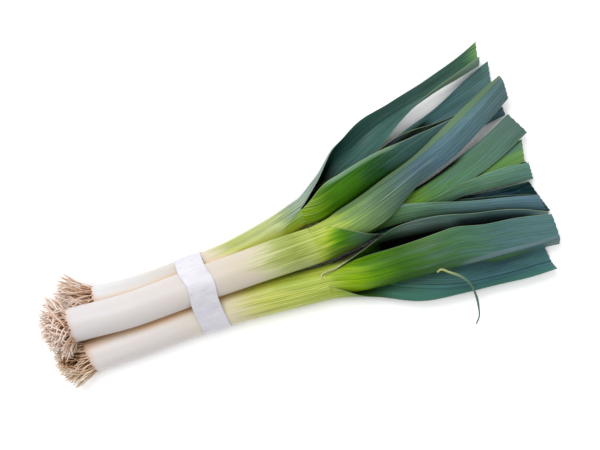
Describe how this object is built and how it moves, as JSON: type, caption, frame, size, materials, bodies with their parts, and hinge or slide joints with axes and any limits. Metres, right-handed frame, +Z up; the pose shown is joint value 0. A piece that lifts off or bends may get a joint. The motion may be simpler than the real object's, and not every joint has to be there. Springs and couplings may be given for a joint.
{
  "type": "bunch of leeks",
  "caption": "Fresh leeks with roots and knife-cut leaves, held side by side by a white tape band and lying flat.",
  "frame": {"origin": "centre of the bunch's bounding box in plan, on the surface that it lies on", "axes": "+X from the roots to the leaf tips, +Y towards the back leek, +Z up from the surface"},
  "size_m": [0.4571, 0.2344, 0.0595],
  "materials": {
    "rootlets": "dry fibrous rootlets, matte",
    "shaft": "smooth waxy white leaf sheath",
    "leaf_blue_green": "waxy blue-green leaf blade with fine parallel veins",
    "leaf_grey_green": "leaf blade with a blue-grey bloom",
    "leaf_green": "bright green leaf blade, blue-green towards its tip",
    "leaf_lime": "young lime-green leaf blade",
    "leaf_dark": "dark blue-green leaf blade",
    "tape": "white plastic tape, satin"
  },
  "bodies": {
    "root": {"middle_roots": "rootlets", "back_roots": "rootlets", "front_roots": "rootlets", "middle_shaft": "shaft", "back_shaft": "shaft", "front_shaft": "shaft", "back_leaf_outer": "leaf_blue_green", "back_leaf_inner": "leaf_grey_green", "back_leaf_folded": "leaf_green", "middle_leaf_outer": "leaf_blue_green", "middle_leaf_top": "leaf_grey_green", "middle_leaf_long": "leaf_grey_green", "middle_leaf_low": "leaf_green", "middle_leaf_wide": "leaf_green", "middle_leaf_heart": "leaf_lime", "front_leaf_low": "leaf_blue_green", "front_leaf_cup": "leaf_dark", "front_leaf_ridged": "leaf_green", "tape": "tape"}
  },
  "joints": []
}
